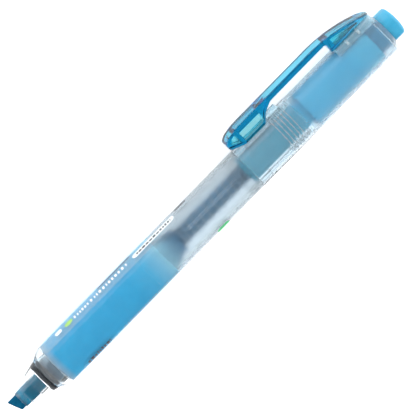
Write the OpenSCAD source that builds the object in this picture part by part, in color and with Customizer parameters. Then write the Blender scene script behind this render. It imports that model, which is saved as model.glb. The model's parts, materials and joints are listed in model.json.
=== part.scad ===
// Retractable highlighter with a click button, lying on its side on a table.
// Stations are distances along the pen's axis, from the nib tip towards the button.
// Heights are distances from that axis towards the clip.

/* [Pen] */
// Length from the nib tip to the end of the button, nib out
pen_length = 143.6; // [143:0.1:145]
// Outer diameter of both barrels
barrel_d = 12.8; // [12.7:0.1:13.4]
// How far the button moves the nib
travel = 14; // [12:0.5:14]
// Radial gap of a sliding fit
slide_gap = 0.1; // [0.06:0.01:0.12]
// Radial gap between pieces that are fitted together
seat_gap = 0.05; // [0.03:0.01:0.06]

/* [Nib and refill] */
// Width of the felt nib across its broad face
nib_d = 4.2; // [4:0.1:4.2]
// How far back the slanted writing edge runs
nib_slant = 1.6; // [1:0.1:2]
// Thickness of the writing edge
nib_edge = 1.4; // [1:0.1:2]
// Turn of the nib about the axis, measured from the clip
nib_roll = 24.8; // [0:0.1:90]
// Station where the thick head of the nib meets its stem
nib_head_x = 8.3; // [7:0.1:9]
// Diameter of the nib's stem
nib_stem_d = 3; // [2.4:0.1:3.2]
// Station of the holder's mouth
holder_x = 3.1; // [2.6:0.1:3.4]
// Outer diameter of the nib holder
holder_d = 4.9; // [4.8:0.05:4.9]
// Outer diameter of the reservoir shell
shell_d = 8; // [7.6:0.1:8]
// Station where the reservoir shell starts
shell_x = 20.6; // [20.4:0.1:21]
// Station where the reservoir shell ends
shell_end_x = 34; // [32:0.1:34]
// Wall of the reservoir shell
shell_wall = 0.5; // [0.4:0.05:0.6]
// Outer diameter of the refill's tail tube
tail_d = 4.7; // [4.5:0.05:4.7]
// Station where the tail tube ends
tail_end_x = 92; // [90:0.5:92]

/* [Nose] */
// Station of the nozzle's lip
nozzle_x = 5; // [4.6:0.1:5.2]
// Outer diameter of the nozzle's front tube
nozzle_tube_d = 6; // [5.8:0.1:6.2]
// Station of the step behind the front tube
nozzle_step_x = 8.3; // [8:0.1:9]
// Outer diameter of the cone at that step
nozzle_step_d = 7.9; // [7.6:0.1:8.2]
// Station where the cone ends
nozzle_cone_x = 12.1; // [12:0.05:12.3]
// Outer diameter at the cone's end
nozzle_cone_d = 9.6; // [9.4:0.1:9.8]
// Bore of the nozzle
nozzle_bore_d = 5.2; // [5.1:0.05:5.4]
// Bore of the pocket that holds the seals
pocket_d = 7.8; // [7.6:0.1:8]
// Outer diameter of the nozzle's skirt inside the barrel
skirt_d = 8.8; // [8.6:0.1:8.8]
// Station where the nozzle's skirt ends
skirt_x = 18; // [17.6:0.1:18]

/* [Front unit] */
// Station of the front barrel's front rim
barrel_x = 12.55; // [12.5:0.05:12.7]
// Station where the barrel's taper reaches full width
taper_x = 15.3; // [15:0.1:16]
// Diameter of the front rim
rim_d = 9.7; // [9.4:0.1:10]
// Station of the seam between the barrels
seam_x = 88.2; // [88:0.1:88.6]
// Wall of the front barrel
barrel_wall = 1.1; // [1.05:0.05:1.2]
// Outer diameter of the seal tube
seal_tube_d = 10.3; // [10:0.1:10.3]
// Station where the seal tube ends
seal_tube_end_x = 50.5; // [49.5:0.1:51]
// Station where the tail bush's wide collar ends
bush_collar_x = 56.5; // [54:0.5:57]
// Station where the tail bush's cone ends
bush_cone_x = 60.5; // [58:0.5:61]
// Station of the spring seat
spring_x = 62; // [61.5:0.1:62.5]
// Diameter of the tail bush at the spring seat
spring_seat_d = 7.2; // [6.8:0.1:7.4]
// Wire of the return spring
wire_d = 0.45; // [0.4:0.01:0.5]
// Turns of the return spring
spring_turns = 13; // [10:1:15]

/* [Screw joint] */
// Station where the joint bush starts inside the front barrel
joint_x = 84; // [82:0.5:85]
// Station where the joint bush ends
joint_end_x = 107; // [106.8:0.1:107]
// Diameter over the thread's crests
thread_d = 11.36; // [11.2:0.02:11.4]
// Diameter of the plain neck of the joint bush
neck_d = 10.7; // [10.5:0.05:10.7]
// Station of the first thread rib
thread_x = 100.05; // [99.6:0.05:100.2]
// Pitch of the thread
thread_pitch = 1.13; // [1:0.01:1.13]
// Number of ribs
thread_ribs = 6; // [4:1:6]

/* [Rear unit] */
// Station of the rear barrel's end
rear_end_x = 139.2; // [139:0.1:139.4]
// Diameter of the button
button_d = 8.84; // [8.8:0.02:8.9]
// Station of the button's inner end
button_x = 118; // [117.5:0.1:118.2]
// Edge rounding of the button's cap
button_round = 1; // [0.6:0.1:1.2]
// Station where the carrier starts
carrier_x = 86.8; // [86.6:0.1:87]
// Diameter of the carrier
carrier_d = 7.9; // [7.6:0.1:8]
// Station where the cam sleeve starts
sleeve_x = 109.7; // [109.5:0.1:109.8]
// Station where the cam sleeve ends
sleeve_end_x = 134.2; // [134:0.1:134.5]
// Outer diameter of the cam sleeve
sleeve_d = 10.6; // [10.5:0.05:10.6]
// Bore of the cam sleeve
sleeve_bore_d = 9.4; // [9.4:0.05:9.5]
// Turn of the rotor over one full stroke
rotor_turn = 45; // [30:5:60]
// Number of lugs on the rotor
rotor_lugs = 4; // [3:1:4]

/* [Clip] */
// Width of the clip
clip_w = 4.4; // [4:0.1:4.6]
// Height of the clip's outer face above the axis
clip_h = 11.4; // [11.2:0.1:12]
// Thickness of the clip's arm
clip_t = 1.6; // [1.4:0.1:1.6]
// Chamfer along the clip's long edges
clip_edge = 0.3; // [0.2:0.05:0.4]
// Station of the clip's free end
clip_x = 88.2; // [88:0.1:90]
// Station of the flex line at the clip's root
flex_x = 125.8; // [125.6:0.1:126]
// Height of the seat under the clip's root
saddle_h = 6.9; // [6.8:0.05:7]

/* [Hidden] */
$fn = 64;
eps = 0.01;
barrel_r = barrel_d / 2;
barrel_bore_r = barrel_r - barrel_wall;
clip_side = clip_w / 2;
cut_margin = 1;

// The pen lies on its barrel and on the lower edge of the clip's outer face.
low_h = clip_h - clip_edge;
rest_roll = asin(barrel_r / norm([low_h, clip_side])) - atan(clip_side / low_h);
clip_reach = clip_h * cos(rest_roll) + (clip_side - clip_edge) * sin(rest_roll);
axis_y = (clip_reach - barrel_r) / 2;

// Nose
holder_r = holder_d / 2;
seal_r = pocket_d / 2 - seat_gap;
nozzle_lip = 0.3;
nozzle_lip_l = 0.6;
front_seal_x = 11;
front_seal_end_x = 12.5;
washer_end_x = 12.8;
lip_seal_end_x = 14.2;
lip_t = 0.5;
seal_cone = 0.7;
cage_bore_r = 2.75;
skirt_r = skirt_d / 2;
barrel_step_x = 16.2;
seal_tube_x = 16.4;
seal_bore_r = shell_d / 2 + slide_gap;
bush_r = 4.4;
bush_x = 48.5;
tail_r = tail_d / 2;
tail_bore_r = tail_r + slide_gap;
oring_x = 55.8;
oring_t = 0.44;

// Return spring, as a swept coil of wire_sides points a ring and coil_steps rings a turn
spring_r = tail_bore_r + seat_gap + wire_d / 2;
wire_sides = 6;
coil_steps = 12;
coil_rings = spring_turns * coil_steps;
spring_from_x = spring_x + wire_d / 2 + seat_gap;
spring_to_x = carrier_x - wire_d / 2 - seat_gap;

// Refill
nib_stem_end_x = 24;
stem_r = nib_stem_d / 2;
nib_taper_x = 5;
flange_t = 1.2;
shell_r = shell_d / 2;
tail_flange_t = 1.5;
tail_flange_r = 3.4;
shell_back_t = 1;
tail_wall = 0.5;
plug_x = 84;
carrier_r = carrier_d / 2;
carrier_end_x = 110.9;
carrier_socket_x = 93;
carrier_bore_r = 3.2;

// Screw joint and rear barrel
bush_bore_r = bush_r + seat_gap;
land_end_x = 92;
skirt_bore_r = thread_d / 2 + slide_gap;
rear_bore_r = 5.4;
rear_step_x = 107.2;
seam_edge = 0.3;
end_wall_t = 1.6;
end_round = [[1.7, 0], [0.9, 0.3], [0, 1.4]];
button_r = button_d / 2;
end_hole_r = button_r + slide_gap;
bump_x = 103;
bump_l = 4;
bump_w = 3;
bump_h = 7.5;
bump_slope = 0.6;
saddle_x = 125.6;
saddle_end_x = 138.8;
saddle_top_w = 4.8;
saddle_foot_w = 7.6;
saddle_foot_h = 5.2;
tab_x = 127;
tab_end_x = 136;
tab_w = 2.4;
tab_h = 5.55;
pin_r = 0.4;
pin_h = 5.95;
pin_l = 6.5;
pin_stations = [129.5, 133.5];

// Click mechanism
rotor_x = 111.1;
rotor_l = 3;
rotor_r = 4.3;
lug_w = 1.2;
lug_l = 1.6;
lug_r = 5.05;
slot_w = 2.2;
slot_end_x = 129;
slot_slices = 9;
slot_floor_r = lug_r + seat_gap;
locating_ring_r = rear_bore_r - seat_gap;
locating_ring_l = 0.8;
plunger_x = 114.4;
plunger_head_l = 2;
plunger_r = 3.3;
plunger_end_x = 140;
button_flange_r = 4.62;
button_flange_l = 1.5;
button_bore_r = plunger_r + seat_gap;
button_bore_end_x = plunger_end_x + 0.2;
button_dome = 0.5;
dome_steps = [[1.3, 0.7], [2.6, 0.2]];

// Clip
flex_h = clip_h - clip_t / 2;
knuckle_r = clip_t / 2 - seat_gap;
knuckle_gap = 0.1;
foot_h = 6.1;
foot_gap = 0.08;
arm_slope_l = 4;
arm_outline = [[0, 8], [0, 9.9], [1.4, 10.8], [4.8, clip_h]];
foot_outline = [[16.3, clip_h - clip_t], [13.4, 8.4], [11.4, foot_h], [4.2, foot_h]];
root_x = 125;
back_step = 1.3;
back_arc_x = 120;
back_arc_drop = 4.1;
back_arc_r = (pow(saddle_end_x - back_arc_x, 2) + pow(back_arc_drop, 2)) / (2 * back_arc_drop);

// Lays the pen down: the nib points to +X, the clip to -Y and down.
module place() {
  translate([pen_length / 2, axis_y, barrel_r])
    rotate([90 + rest_roll, 0, 0])
      rotate([0, 0, 180])
        children();
}

// A closed outline of [radius, station] points turned about the axis
module turned(outline) {
  rotate([0, 90, 0]) rotate_extrude() polygon(outline);
}

// A plain ring or disc between two stations
module ring(from_x, to_x, outer_r, inner_r = 0) {
  turned([[inner_r, from_x], [outer_r, from_x], [outer_r, to_x], [inner_r, to_x]]);
}

// A closed outline of [station, height] points, as wide as given
module across(outline, width) {
  rotate([90, 0, 0]) linear_extrude(height = width, center = true) polygon(outline);
}

// A bar of trapezium section along the axis
module along(from_x, to_x, foot_height, top_height, foot_width, top_width) {
  translate([from_x, 0, 0])
    rotate([0, 90, 0])
      linear_extrude(height = to_x - from_x)
        polygon([
          [-foot_height, -foot_width / 2], [-top_height, -top_width / 2],
          [-top_height, top_width / 2], [-foot_height, foot_width / 2],
        ]);
}

// Front unit

module front_barrel() color("gainsboro", 0.5) place()
  turned([
    [skirt_r + seat_gap, barrel_x], [rim_d / 2, barrel_x], [barrel_r, taper_x],
    [barrel_r, seam_x - seam_edge], [barrel_r - seam_edge, seam_x],
    [barrel_bore_r, seam_x], [barrel_bore_r, barrel_step_x], [skirt_r + seat_gap, barrel_step_x],
  ]);

module nozzle() color("lightcyan", 0.5) place()
  turned([
    [nozzle_bore_d / 2, nozzle_x], [nozzle_tube_d / 2 - nozzle_lip, nozzle_x],
    [nozzle_tube_d / 2, nozzle_x + nozzle_lip_l], [nozzle_tube_d / 2, nozzle_step_x],
    [nozzle_step_d / 2, nozzle_step_x], [nozzle_cone_d / 2, nozzle_cone_x],
    [nozzle_cone_d / 2, barrel_x - seat_gap], [skirt_r, barrel_x - seat_gap], [skirt_r, skirt_x],
    [pocket_d / 2, skirt_x], [pocket_d / 2, front_seal_x + seal_cone],
    [pocket_d / 2 - seal_cone, front_seal_x - seat_gap], [nozzle_bore_d / 2, front_seal_x - seat_gap],
  ]);

module front_seal() color("#22262e") place()
  turned([
    [nozzle_bore_d / 2 - seat_gap, front_seal_x], [seal_r - seal_cone, front_seal_x],
    [seal_r, front_seal_x + seal_cone], [seal_r, front_seal_end_x],
    [nozzle_bore_d / 2 - seat_gap, front_seal_end_x],
  ]);

module seal_washer() color("whitesmoke") place()
  ring(front_seal_end_x, washer_end_x, seal_r, nozzle_bore_d / 2);

// The slit lips are shown parted round the nib holder.
module lip_seal() color("#22262e") place()
  turned([
    [holder_r + seat_gap, washer_end_x], [seal_r, washer_end_x], [seal_r, lip_seal_end_x],
    [cage_bore_r + lip_t, lip_seal_end_x], [cage_bore_r + lip_t, washer_end_x + 2 * lip_t],
    [holder_r + seat_gap, washer_end_x + lip_t],
  ]);

module seal_cage() color("white") place()
  ring(lip_seal_end_x, skirt_x - seat_gap, seal_r, cage_bore_r);

module seal_tube() color("deepskyblue", 0.8) place()
  turned([
    [skirt_r + seat_gap, seal_tube_x], [seal_tube_d / 2, seal_tube_x],
    [seal_tube_d / 2, seal_tube_end_x], [bush_r + seat_gap, seal_tube_end_x],
    [bush_r + seat_gap, bush_x], [seal_bore_r, bush_x], [seal_bore_r, skirt_x],
    [skirt_r + seat_gap, skirt_x],
  ]);

module tail_bush() color("lightskyblue", 0.7) place()
  difference() {
    turned([
      [tail_bore_r, bush_x], [bush_r, bush_x], [bush_r, seal_tube_end_x],
      [barrel_bore_r - seat_gap, seal_tube_end_x], [barrel_bore_r - seat_gap, bush_collar_x],
      [spring_seat_d / 2, bush_cone_x], [spring_seat_d / 2, spring_x], [tail_bore_r, spring_x],
    ]);
    ring(oring_x - oring_t - seat_gap, oring_x + oring_t + seat_gap, tail_bore_r + 2 * oring_t);
  }

module tail_seal() color("#22262e") place()
  translate([oring_x, 0, 0])
    rotate([0, 90, 0])
      rotate_extrude()
        translate([tail_r + seat_gap + oring_t, 0])
          circle(oring_t, $fn = 24);

module joint_bush() color("lightblue", 0.6) place()
  union() {
    turned([
      [bush_bore_r, joint_x], [barrel_bore_r - seat_gap, joint_x],
      [barrel_bore_r - seat_gap, seam_x], [thread_d / 2, seam_x], [thread_d / 2, land_end_x],
      [neck_d / 2, land_end_x], [neck_d / 2, joint_end_x], [bush_bore_r, joint_end_x],
    ]);
    for (i = [0 : thread_ribs - 1]) thread_rib(thread_x + i * thread_pitch);
  }

// A rib as wide as three quarters of the pitch, with sloping sides
module thread_rib(from_x) {
  quarter = thread_pitch / 4;
  turned([
    [neck_d / 2 - eps, from_x], [thread_d / 2, from_x + quarter],
    [thread_d / 2, from_x + 2 * quarter], [neck_d / 2 - eps, from_x + 3 * quarter],
  ]);
}

function coil_point(k, side) =
  let (
    turn = 360 * k / coil_steps,
    x = spring_from_x + (spring_to_x - spring_from_x) * k / coil_rings,
    r = spring_r + wire_d / 2 * cos(360 * side / wire_sides)
  )
  [x + wire_d / 2 * sin(360 * side / wire_sides), r * cos(turn), r * sin(turn)];

function coil_index(k, side) = k * wire_sides + side % wire_sides;

module return_spring() color("silver") place()
  polyhedron(
    points = [for (k = [0 : coil_rings]) for (side = [0 : wire_sides - 1]) coil_point(k, side)],
    faces = concat(
      [for (k = [0 : coil_rings - 1]) for (side = [0 : wire_sides - 1]) [
        coil_index(k, side), coil_index(k, side + 1),
        coil_index(k + 1, side + 1), coil_index(k + 1, side),
      ]],
      [[for (side = [wire_sides - 1 : -1 : 0]) coil_index(0, side)]],
      [[for (side = [0 : wire_sides - 1]) coil_index(coil_rings, side)]]
    )
  );

// Refill

module nib() color("#00648f") place()
  rotate([-nib_roll, 0, 0])
    intersection() {
      union() {
        ring(0, nib_head_x, nib_d / 2);
        ring(nib_head_x - eps, nib_stem_end_x, stem_r);
      }
      across([
        [0, nib_d / 2], [nib_slant, -nib_d / 2],
        [nib_stem_end_x, -nib_d / 2], [nib_stem_end_x, nib_d / 2],
      ], nib_d);
      rotate([90, 0, 0])
        across([
          [0, nib_edge / 2], [nib_taper_x, nib_d / 2], [nib_stem_end_x, nib_d / 2],
          [nib_stem_end_x, -nib_d / 2], [nib_taper_x, -nib_d / 2], [0, -nib_edge / 2],
        ], nib_d);
    }

module nib_holder() color("lightcyan", 0.5) place()
  turned([
    [nib_d / 2 + seat_gap, holder_x], [holder_r, holder_x], [holder_r, shell_x - flange_t],
    [shell_r, shell_x - flange_t], [shell_r, shell_x], [stem_r + seat_gap, shell_x],
    [stem_r + seat_gap, nib_head_x + seat_gap], [nib_d / 2 + seat_gap, nib_head_x + seat_gap],
  ]);

module reservoir_shell() color("deepskyblue", 0.7) place()
  turned([
    [shell_r - shell_wall, shell_x], [shell_r, shell_x], [shell_r, shell_end_x],
    [tail_r + seat_gap, shell_end_x], [tail_r + seat_gap, shell_end_x - shell_back_t],
    [shell_r - shell_wall, shell_end_x - shell_back_t],
  ]);

module ink_reservoir() color("#1f9fd8") place()
  difference() {
    ring(shell_x + seat_gap, shell_end_x - shell_back_t - tail_flange_t - seat_gap,
      shell_r - shell_wall - seat_gap);
    ring(shell_x, nib_stem_end_x + seat_gap, stem_r + seat_gap);
  }

module tail_tube() color("#5b7f9c") place()
  turned([
    [tail_r - tail_wall, shell_end_x - shell_back_t - tail_flange_t],
    [tail_flange_r, shell_end_x - shell_back_t - tail_flange_t],
    [tail_flange_r, shell_end_x - shell_back_t], [tail_r, shell_end_x - shell_back_t],
    [tail_r, tail_end_x], [tail_r - tail_wall, tail_end_x],
  ]);

module tail_plug() color("#3f6f92") place()
  ring(plug_x, tail_end_x, tail_r - tail_wall - seat_gap);

module carrier() color("#2aa3dd", 0.8) place()
  turned([
    [tail_r + seat_gap, carrier_x], [carrier_r, carrier_x], [carrier_r, carrier_end_x],
    [carrier_bore_r, carrier_end_x], [carrier_bore_r, carrier_socket_x],
    [tail_r + seat_gap, carrier_socket_x],
  ]);

// Rear unit

module rear_barrel() color("#bfe0f2", 0.5) place()
  difference() {
    union() {
      turned([
        [0, seam_x], [barrel_r - seam_edge, seam_x], [barrel_r, seam_x + seam_edge],
        for (corner = end_round) [barrel_r - corner[1], rear_end_x - corner[0]],
        [0, rear_end_x],
      ]);
      across([
        [bump_x - bump_l / 2, 0], [bump_x - bump_l / 2 + bump_slope, bump_h],
        [bump_x + bump_l / 2 - bump_slope, bump_h], [bump_x + bump_l / 2, 0],
      ], bump_w);
      along(saddle_x, saddle_end_x, saddle_foot_h, saddle_h, saddle_foot_w, saddle_top_w);
    }
    turned([
      [0, seam_x - cut_margin], [skirt_bore_r, seam_x - cut_margin], [skirt_bore_r, rear_step_x],
      [rear_bore_r, rear_step_x], [rear_bore_r, rear_end_x - end_wall_t],
      [end_hole_r, rear_end_x - end_wall_t], [end_hole_r, rear_end_x + cut_margin],
      [0, rear_end_x + cut_margin],
    ]);
    // Pocket for the tab under the clip's root
    across([
      [tab_x - seat_gap, tab_h - seat_gap], [tab_x - seat_gap, clip_h],
      [tab_end_x + seat_gap, clip_h], [tab_end_x + seat_gap, tab_h - seat_gap],
    ], tab_w + 2 * seat_gap);
    pin_holes();
  }

module pin_holes() {
  for (x = pin_stations)
    translate([x, 0, pin_h])
      rotate([90, 0, 0])
        cylinder(r = pin_r + seat_gap / 2, h = saddle_foot_w + 2 * cut_margin, center = true);
}

module clip_pins() color("white") place()
  for (x = pin_stations)
    translate([x, 0, pin_h])
      rotate([90, 0, 0])
        cylinder(r = pin_r, h = pin_l, center = true);

module cam_sleeve() color("#2f9ed6", 0.8) place()
  difference() {
    turned([
      [sleeve_bore_d / 2, sleeve_x], [sleeve_d / 2, sleeve_x],
      [sleeve_d / 2, sleeve_end_x - locating_ring_l], [locating_ring_r, sleeve_end_x - locating_ring_l],
      [locating_ring_r, sleeve_end_x], [sleeve_bore_d / 2, sleeve_end_x],
    ]);
    rotor_slots();
  }

// Angle of the rotor's lugs at a station, turning evenly over the stroke
function slot_angle(x) = rotor_turn * (x - rotor_x - rotor_l / 2) / travel;

// Helical grooves inside the cam sleeve, open at its front end
module rotor_slots() {
  from_x = sleeve_x - cut_margin;
  twist = slot_angle(from_x) - slot_angle(slot_end_x);
  translate([from_x, 0, 0])
    rotate([slot_angle(from_x), 0, 0])
      rotate([0, 90, 0])
        linear_extrude(height = slot_end_x - from_x, twist = twist, slices = slot_slices)
          for (i = [0 : rotor_lugs - 1])
            rotate(360 * i / rotor_lugs)
              translate([rotor_r - cut_margin, -slot_w / 2])
                square([slot_floor_r - rotor_r + cut_margin, slot_w]);
}

module rotor() color("#1b7fb5") place()
  difference() {
    union() {
      ring(rotor_x, rotor_x + rotor_l, rotor_r);
      for (i = [0 : rotor_lugs - 1])
        rotate([360 * i / rotor_lugs, 0, 0])
          translate([rotor_x + rotor_l / 2, 0, 0])
            lug();
    }
    ring(rotor_x - cut_margin, rotor_x + rotor_l + cut_margin, rotor_r / 2);
  }

// One lug, rooted in the rotor and rounded to the radius of the slots
module lug() {
  root_r = rotor_r - cut_margin;
  intersection() {
    translate([-lug_l / 2, -lug_w / 2, -lug_r]) cube([lug_l, lug_w, lug_r - root_r]);
    ring(-lug_l, lug_l, lug_r);
  }
}

module plunger() color("#2aa3dd") place()
  turned([
    [0, plunger_x], [rotor_r, plunger_x], [rotor_r, plunger_x + plunger_head_l],
    [plunger_r, plunger_x + plunger_head_l], [plunger_r, plunger_end_x], [0, plunger_end_x],
  ]);

module button() color("#28a5dc", 0.8) place()
  turned([
    [button_bore_r, button_x], [button_flange_r, button_x],
    [button_flange_r, button_x + button_flange_l], [button_r, button_x + button_flange_l],
    [button_r, pen_length - button_dome - button_round],
    for (a = [15 : 15 : 75])
      [button_r - button_round * (1 - cos(a)), pen_length - button_dome - button_round * (1 - sin(a))],
    for (step = dome_steps) [button_r - button_round * step[0], pen_length - button_dome * step[1]],
    [0, pen_length], [0, button_bore_end_x], [button_bore_r, button_bore_end_x],
  ]);

// Clip

// The clip's section, drawn out over its whole length, its outer edges chamfered
module clip_section() {
  from_x = clip_x - cut_margin;
  to_x = saddle_end_x + cut_margin;
  along(from_x, to_x, tab_h - cut_margin, low_h, clip_w, clip_w);
  along(from_x, to_x, low_h, clip_h, clip_w, clip_w - 2 * clip_edge);
}

// The arm ends in a knuckle, which turns in a hollow of the root where the real clip bends.
module clip_arm() color("#0aa0d4", 0.8) place()
  difference() {
    intersection() {
      union() {
        across([
          for (corner = arm_outline) [clip_x + corner[0], corner[1]],
          [flex_x - arm_slope_l, clip_h], [flex_x, flex_h + knuckle_r], [flex_x, flex_h - knuckle_r],
          [flex_x - arm_slope_l / 2, clip_h - clip_t],
          for (corner = foot_outline) [clip_x + corner[0], corner[1]],
        ], clip_w);
        flex_line(knuckle_r, clip_w);
      }
      clip_section();
    }
    ring(clip_x - cut_margin, root_x, barrel_r + foot_gap);
  }

module flex_line(r, width) {
  translate([flex_x, 0, flex_h])
    rotate([90, 0, 0])
      cylinder(r = r, h = width, center = true);
}

module clip_root() color("#0aa0d4", 0.8) place()
  difference() {
    union() {
      intersection() {
        across(root_outline(), clip_w);
        clip_section();
        root_plan();
      }
      across([
        [tab_x, tab_h], [tab_x, saddle_h + eps],
        [tab_end_x, saddle_h + eps], [tab_end_x, tab_h],
      ], tab_w);
    }
    flex_line(knuckle_r + knuckle_gap, clip_w + cut_margin);
    pin_holes();
  }

function root_outline() = [
  [root_x, saddle_h], [root_x, flex_h - knuckle_r - 2 * knuckle_gap],
  [flex_x, flex_h - knuckle_r - knuckle_gap], [flex_x, flex_h],
  for (x = [flex_x + knuckle_r : back_step : saddle_end_x]) [x, back_height(x)],
  [saddle_end_x, back_height(saddle_end_x)], [saddle_end_x, saddle_h],
];

// Height of the rounded back of the clip's root
function back_height(x) = clip_h - back_arc_r + sqrt(pow(back_arc_r, 2) - pow(x - back_arc_x, 2));

// The root ends in a half round when seen from above.
module root_plan() {
  round_x = saddle_end_x - clip_side;
  translate([round_x, 0, 0]) cylinder(r = clip_side, h = clip_h + cut_margin);
  translate([root_x, -clip_side, 0]) cube([round_x - root_x, clip_w, clip_h + cut_margin]);
}

front_barrel();
nozzle();
front_seal();
seal_washer();
lip_seal();
seal_cage();
seal_tube();
tail_bush();
tail_seal();
joint_bush();
return_spring();
nib();
nib_holder();
reservoir_shell();
ink_reservoir();
tail_tube();
tail_plug();
carrier();
rear_barrel();
cam_sleeve();
clip_root();
clip_pins();
button();
plunger();
rotor();
clip_arm();
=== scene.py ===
"""Looks of a retractable highlighter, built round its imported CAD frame.

Shapes are written in the pen's own millimetres: a station x along the axis from the nib tip, a height
h towards the clip, and t across. pen_point() turns them into the frame's metres.
"""
import json
import math
import random

import bmesh
import bpy
from mathutils import Matrix, Vector


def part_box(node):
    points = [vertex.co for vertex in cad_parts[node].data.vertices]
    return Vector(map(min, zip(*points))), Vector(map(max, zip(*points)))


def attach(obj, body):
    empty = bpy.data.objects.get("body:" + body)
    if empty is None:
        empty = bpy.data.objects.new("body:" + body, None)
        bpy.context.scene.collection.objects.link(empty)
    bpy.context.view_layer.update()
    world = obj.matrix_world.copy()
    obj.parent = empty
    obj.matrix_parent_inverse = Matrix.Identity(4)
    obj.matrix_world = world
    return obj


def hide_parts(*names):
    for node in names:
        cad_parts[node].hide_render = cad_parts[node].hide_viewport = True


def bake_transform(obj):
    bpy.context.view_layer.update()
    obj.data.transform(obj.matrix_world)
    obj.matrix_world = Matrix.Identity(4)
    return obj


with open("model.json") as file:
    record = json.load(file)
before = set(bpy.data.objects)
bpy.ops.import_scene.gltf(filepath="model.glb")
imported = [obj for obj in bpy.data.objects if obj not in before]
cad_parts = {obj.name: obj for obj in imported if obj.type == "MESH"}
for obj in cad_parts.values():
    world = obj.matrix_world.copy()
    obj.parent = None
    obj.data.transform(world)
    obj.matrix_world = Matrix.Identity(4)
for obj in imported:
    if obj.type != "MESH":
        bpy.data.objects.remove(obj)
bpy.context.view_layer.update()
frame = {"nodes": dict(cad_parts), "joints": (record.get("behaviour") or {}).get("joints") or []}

MM = 0.001
ROUND_STEPS = 96
CORNER_STEPS = 3
CORNER_REACH = 0.45
SHARP_ANGLE = math.radians(32)
ON_AXIS = 1e-6
BORE_FACING = -0.3

# ---------------------------------------------------------------- the pen's own frame

TIP_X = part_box("nib")[1].x
BARREL_LOW, BARREL_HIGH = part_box("front_barrel")
AXIS_Y = (BARREL_LOW.y + BARREL_HIGH.y) / 2
AXIS_Z = (BARREL_LOW.z + BARREL_HIGH.z) / 2
TAILWARD = Vector((-1, 0, 0))
CLIP_JOINT = next(j for j in frame["joints"] if j["name"] == "clip_flex")
ACROSS = Vector(CLIP_JOINT["axis"]).normalized()
CLIPWARD = TAILWARD.cross(ACROSS)


def pen_point(x, t, h):
    """A point of the pen, from millimetres in its own frame to metres in the row frame."""
    return Vector((TIP_X, AXIS_Y, AXIS_Z)) + (TAILWARD * x + ACROSS * t + CLIPWARD * h) * MM


def station_and_radius(point):
    """Back from the row frame to a station and a distance from the axis, in millimetres."""
    return (TIP_X - point.x) / MM, math.hypot(point.y - AXIS_Y, point.z - AXIS_Z) / MM


def span(node):
    """The stations where a CAD node starts and ends."""
    low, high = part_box(node)
    return (TIP_X - high.x) / MM, (TIP_X - low.x) / MM


def radius(node):
    """The largest radius of a CAD node that is round about the axis."""
    low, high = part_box(node)
    return (high.z - low.z) / 2 / MM


SEAM_X, REAR_END_X = span("rear_barrel")
BARREL_X = span("front_barrel")[0]
BARREL_R = radius("front_barrel")
NOZZLE_X, SKIRT_X = span("nozzle")
NOZZLE_R = radius("nozzle")
SEAL_R = radius("front_seal")
SEAL_TUBE_X, SEAL_TUBE_END_X = span("seal_tube")
BUSH_X, SPRING_X = span("tail_bush")
BUSH_R = 4.4
JOINT_X, JOINT_END_X = span("joint_bush")
THREAD_R = radius("joint_bush")
HOLDER_X, HOLDER_END_X = span("nib_holder")
NIB_R = 2.1
HOLDER_R = 2.45
SHELL_X, SHELL_END_X = span("reservoir_shell")
SHELL_R = radius("reservoir_shell")
TAIL_X, TAIL_END_X = span("tail_tube")
TAIL_R = 2.35
CARRIER_X, CARRIER_END_X = span("carrier")
CARRIER_R = radius("carrier")
BUTTON_X, PEN_END_X = span("button")
BUTTON_R = 4.42
CLIP_X = span("clip_arm")[0]
CLIP_W = 2.2
CLIP_H = 11.4
WALL = 1.1
FIT = 0.06
SNUG = 0.04


# ---------------------------------------------------------------- node helpers

def new_material(name):
    """A material with an empty node tree but for its output and one Principled shader."""
    material = bpy.data.materials.new(name)
    material.use_nodes = True
    shader = material.node_tree.nodes["Principled BSDF"]
    return material, shader


def set_shader(shader, **values):
    """Sets constants on a Principled shader's own sockets, named with underscores for spaces."""
    for key, value in values.items():
        shader.inputs[key.replace("_", " ")].default_value = value


def add_node(owner, kind, **values):
    """A new node in a material or a world, with its properties set."""
    node = owner.node_tree.nodes.new(kind)
    for key, value in values.items():
        setattr(node, key, value)
    return node


def link(owner, source, target):
    """Joins an output to an input, in a material or a world."""
    owner.node_tree.links.new(source, target)


def stretched_coordinates(material, stretch=(1, 1, 1)):
    """Object coordinates in millimetres, scaled on each axis."""
    coordinates = add_node(material, "ShaderNodeTexCoord")
    mapping = add_node(material, "ShaderNodeMapping")
    mapping.inputs["Scale"].default_value = [s / MM for s in stretch]
    link(material, coordinates.outputs["Object"], mapping.inputs["Vector"])
    return mapping.outputs["Vector"]


def noise(material, scale, detail=3.0, stretch=(1, 1, 1), roughness=0.5):
    """Noise whose scale is features per millimetre."""
    texture = add_node(material, "ShaderNodeTexNoise")
    texture.inputs["Scale"].default_value = scale
    texture.inputs["Detail"].default_value = detail
    texture.inputs["Roughness"].default_value = roughness
    link(material, stretched_coordinates(material, stretch), texture.inputs["Vector"])
    return texture.outputs["Fac"]


def ramp(material, source, low, high, from_min=0.35, from_max=0.65):
    """Maps a value smoothly to the span between two numbers."""
    node = add_node(material, "ShaderNodeMapRange", interpolation_type="SMOOTHSTEP")
    node.inputs["From Min"].default_value = from_min
    node.inputs["From Max"].default_value = from_max
    node.inputs["To Min"].default_value = low
    node.inputs["To Max"].default_value = high
    link(material, source, node.inputs["Value"])
    return node.outputs["Result"]


def colour_sockets(sockets):
    """Of a mix node's sockets, those that hold colours."""
    return [s for s in sockets if s.type == "RGBA"]


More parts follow.
